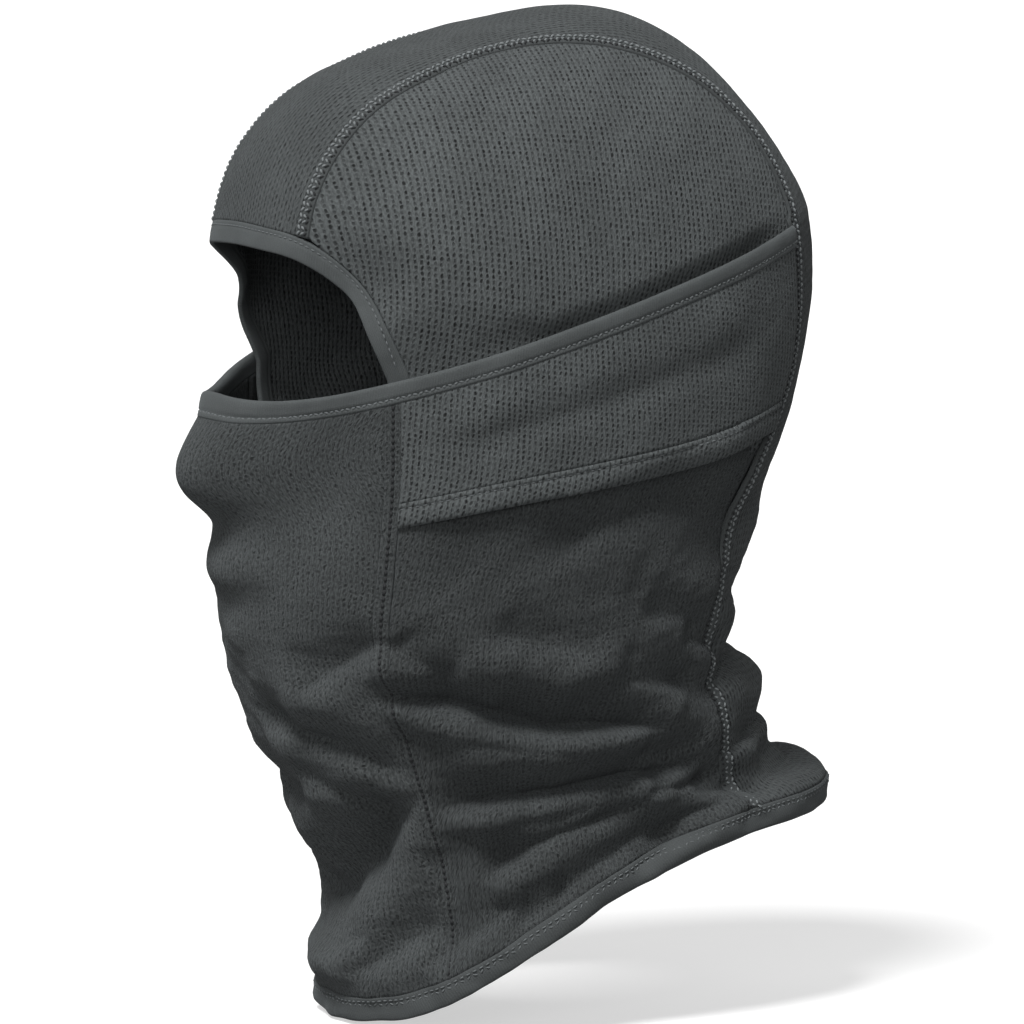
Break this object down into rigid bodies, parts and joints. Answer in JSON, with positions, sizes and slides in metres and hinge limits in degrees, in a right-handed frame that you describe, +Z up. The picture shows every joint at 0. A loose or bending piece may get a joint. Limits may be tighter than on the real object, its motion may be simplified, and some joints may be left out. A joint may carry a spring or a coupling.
{
  "type": "balaclava",
  "caption": "Full-head knit balaclava: hood with a centre strip, side panels, neck skirt, and a mask on cheek yokes that hinges down off the nose.",
  "frame": {"origin": "middle of the head cavity, on the plane through the ears", "axes": "+Z up towards the crown, -Y the way the face looks, +X the wearer's left"},
  "size_m": [0.157, 0.2215, 0.3257],
  "materials": {
    "knit": "fine mesh knit, charcoal",
    "trim": "folded smooth knit, charcoal",
    "thread": "textured polyester thread, charcoal"
  },
  "bodies": {
    "hood": {"centre_panel": "knit", "hood_side_left": "knit", "hood_side_right": "knit", "crown_seam_left": "trim", "crown_seam_right": "trim", "face_binding": "trim", "binding_stitching": "thread", "neck_side_left": "knit", "neck_side_right": "knit", "throat_panel": "knit", "throat_seam_left": "trim", "throat_seam_right": "trim", "neck_hem": "trim", "neck_hem_stitching": "thread"},
    "mask": {"mask_front": "knit", "mask_seam_left": "trim", "mask_seam_right": "trim", "yoke_left": "knit", "yoke_right": "knit", "mask_top_hem": "trim", "mask_hem_stitching": "thread", "yoke_hem_left": "trim", "yoke_hem_right": "trim", "yoke_stitching_left": "thread", "yoke_stitching_right": "thread"}
  },
  "joints": [
    {"name": "mask_pull_down", "type": "hinge", "parent": "hood", "child": "mask", "pos_m": [0, 0.082, 0], "axis": [1, 0, 0], "range_deg": [0, 10]}
  ]
}
